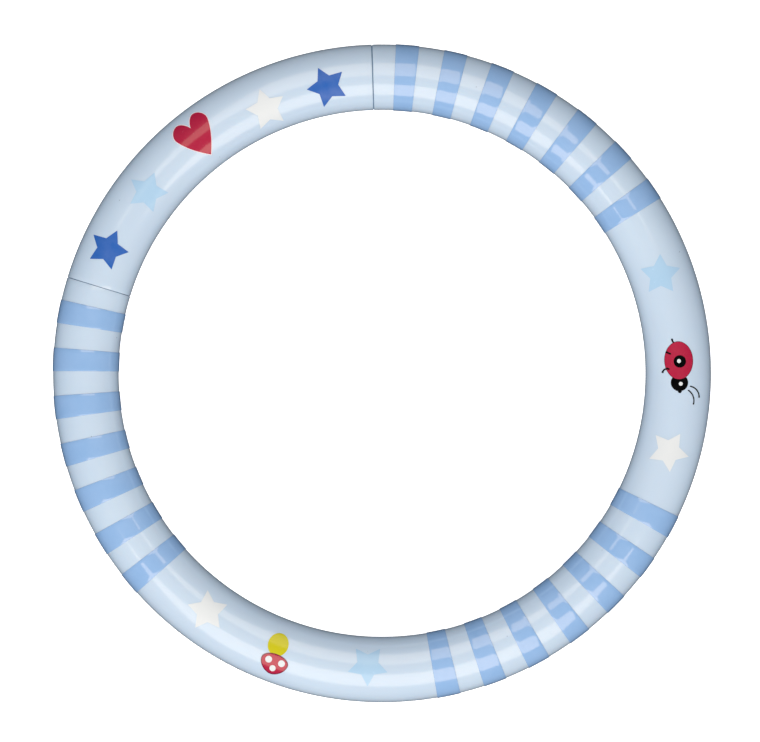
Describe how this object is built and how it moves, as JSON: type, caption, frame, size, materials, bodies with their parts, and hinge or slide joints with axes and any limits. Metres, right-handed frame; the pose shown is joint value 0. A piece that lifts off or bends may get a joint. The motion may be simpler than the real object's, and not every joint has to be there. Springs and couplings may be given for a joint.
{
  "type": "juggling ring",
  "caption": "Round-tube juggling ring in pale blue plastic, joined from a long and a short tube section, with blue film bands and star, heart, ladybird and toadstool stickers.",
  "frame": {"origin": "centre of the ring, on its axis and midway through the tube's thickness", "axes": "+Z along the ring's axis, out of the face that carries the stickers; +X towards the ladybird side; +Y towards the dark joint line between the two tube sections"},
  "size_m": [0.3202, 0.3201, 0.0324],
  "materials": {
    "tube": "pale blue-grey extruded plastic, glossy",
    "plug": "moulded plastic, satin",
    "band_film": "mid-blue film, glossy",
    "navy_vinyl": "strong blue vinyl sticker, glossy",
    "white_vinyl": "white vinyl sticker, satin",
    "pale_vinyl": "light blue vinyl sticker, glossy",
    "blush_vinyl": "near-white vinyl sticker backing, glossy",
    "red_ink": "crimson printed vinyl, glossy",
    "crimson_ink": "dark crimson printed vinyl, glossy",
    "yellow_ink": "mustard yellow printed vinyl, glossy",
    "black_ink": "black printed vinyl, glossy"
  },
  "bodies": {
    "root": {"main_tube": "tube", "closing_tube": "tube", "top_joint_plug": "plug", "side_joint_plug": "plug", "upper_band_1": "band_film", "upper_band_2": "band_film", "upper_band_3": "band_film", "upper_band_4": "band_film", "upper_band_5": "band_film", "upper_band_6": "band_film", "upper_band_7": "band_film", "left_band_1": "band_film", "left_band_2": "band_film", "left_band_3": "band_film", "left_band_4": "band_film", "left_band_5": "band_film", "left_band_6": "band_film", "left_band_7": "band_film", "lower_band_1": "band_film", "lower_band_2": "band_film", "lower_band_3": "band_film", "lower_band_4": "band_film", "lower_band_5": "band_film", "lower_band_6": "band_film", "lower_band_7": "band_film", "navy_star_1": "navy_vinyl", "navy_star_2": "navy_vinyl", "white_star_1": "white_vinyl", "white_star_2": "white_vinyl", "white_star_3": "white_vinyl", "pale_star_1": "pale_vinyl", "pale_star_2": "pale_vinyl", "pale_star_3": "pale_vinyl", "heart_backing": "blush_vinyl", "heart": "red_ink", "ladybird_base": "black_ink", "ladybird_wings": "red_ink", "ladybird_spot": "black_ink", "ladybird_glints": "white_vinyl", "toadstool_stalk": "yellow_ink", "toadstool_rim": "crimson_ink", "toadstool_cap": "red_ink", "toadstool_spots": "white_vinyl"}
  },
  "joints": []
}
